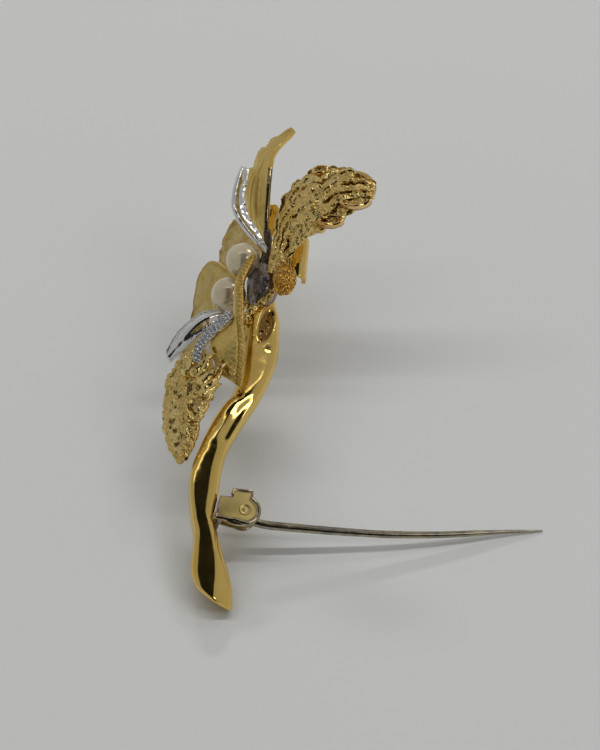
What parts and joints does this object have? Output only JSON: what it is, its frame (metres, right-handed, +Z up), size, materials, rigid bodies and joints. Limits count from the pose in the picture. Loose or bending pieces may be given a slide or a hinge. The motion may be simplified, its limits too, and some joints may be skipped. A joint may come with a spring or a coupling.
{
  "type": "flower brooch",
  "caption": "Flower brooch with curved gold stem, smooth and textured leaves, white-gold blades, pearls, a hub, a catch and a hinged pin that stands open.",
  "frame": {"origin": "centre of the bounding box on the surface that the brooch lies on", "axes": "+Z up, off the surface; +Y roughly along the stem, from the foot to the upper leaf; +X the way the open pin points, away from the flower's front"},
  "size_m": [0.047, 0.063, 0.0264],
  "materials": {
    "polished_gold": "polished gold plate",
    "satin_gold": "satin gold plate with fine scratches",
    "textured_gold": "nugget-textured gold plate",
    "white_gold": "polished rhodium or white gold",
    "white_gold_engraved": "engraved, sparkling white gold",
    "pearl": "cream pearl lustre",
    "oxidised_solder": "grey-purple oxidised solder",
    "tarnished_pin": "worn gilt over steel, tarnished"
  },
  "bodies": {
    "brooch": {"blade_white_lower": "white_gold", "blade_white_upper": "white_gold", "catch": "polished_gold", "hinge_bracket": "polished_gold", "hinge_rivet": "polished_gold", "hub": "oxidised_solder", "leaf_back_tip": "textured_gold", "leaf_back_upper": "polished_gold", "leaf_lower_textured": "textured_gold", "leaf_near": "satin_gold", "leaf_rolled": "textured_gold", "leaf_upper": "satin_gold", "pearl_lower": "pearl", "pearl_upper": "pearl", "petal_far_lower": "satin_gold", "petal_far_upper": "satin_gold", "stem": "polished_gold", "strip_white_textured": "white_gold_engraved"},
    "pin": {"pin": "tarnished_pin"}
  },
  "joints": [
    {"name": "pin_hinge", "type": "hinge", "parent": "brooch", "child": "pin", "pos_m": [-0.01341, -0.01929, 0.00499], "axis": [0.1367, -0.3257, 0.9355], "range_deg": [-40, 80]}
  ]
}
